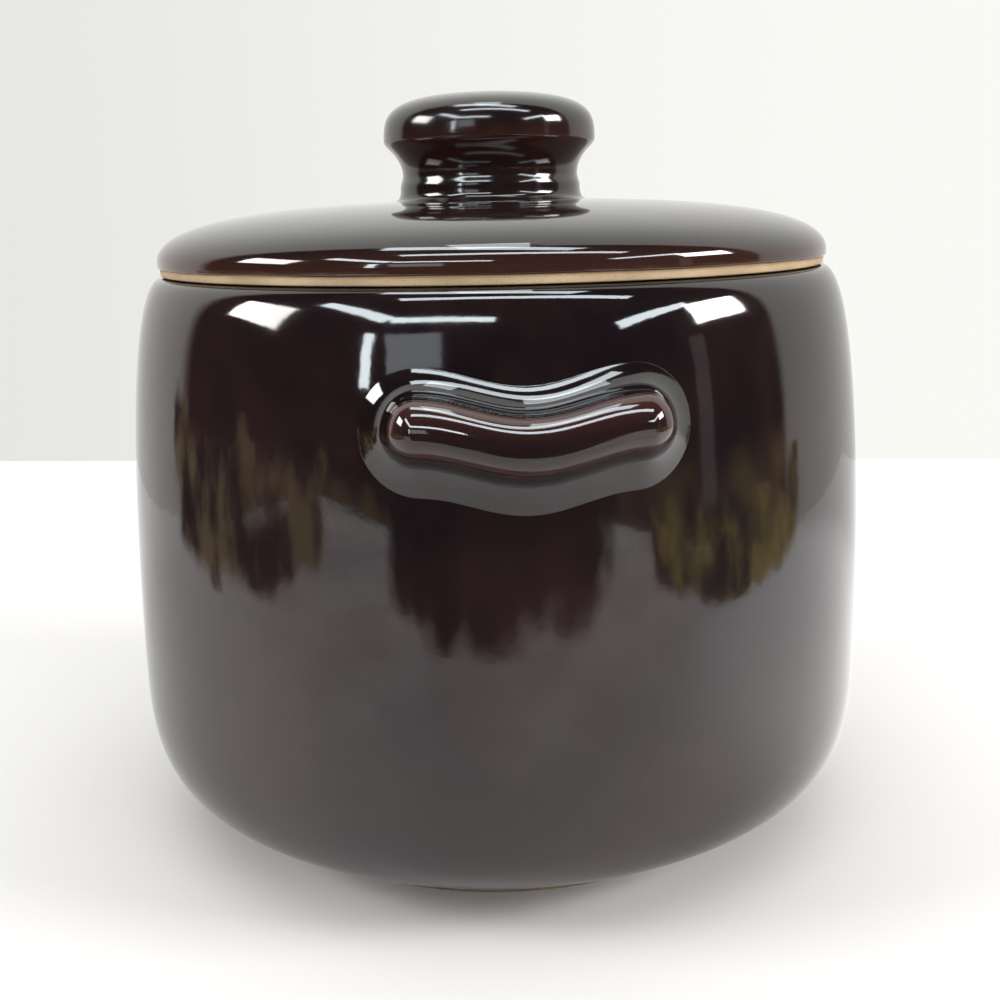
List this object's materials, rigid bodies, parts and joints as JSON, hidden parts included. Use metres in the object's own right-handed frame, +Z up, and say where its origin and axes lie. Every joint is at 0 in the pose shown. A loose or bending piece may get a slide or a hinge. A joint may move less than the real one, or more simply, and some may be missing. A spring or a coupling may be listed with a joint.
{
  "type": "bean pot",
  "caption": "Lidded glazed stoneware bean pot: a bellied pot with wavy lug handles on its sides and a domed lift-off lid with a mushroom knob.",
  "frame": {"origin": "on the pot's axis, at the bottom of the foot ring", "axes": "+Z up along the pot's axis, +Y towards the rear handle, the front handle on -Y, +X to the right seen from the front"},
  "size_m": [0.168, 0.1884, 0.1631],
  "materials": {
    "body_glaze": "high gloss, very dark brown glaze",
    "handle_glaze": "high gloss dark brown glaze, redder where it thins on the nose",
    "lid_glaze": "high gloss, very dark brown glaze",
    "knob_glaze": "high gloss dark brown glaze, redder on the edge of the cap",
    "bare_clay": "unglazed buff stoneware"
  },
  "bodies": {
    "pot": {"pot_body": "body_glaze", "handle_front": "handle_glaze", "handle_rear": "handle_glaze"},
    "lid": {"lid": "lid_glaze", "lid_knob": "knob_glaze"}
  },
  "joints": [
    {"name": "lid_lift", "type": "slide", "parent": "pot", "child": "lid", "axis": [0, 0, 1], "range_m": [0, 0.16]}
  ]
}
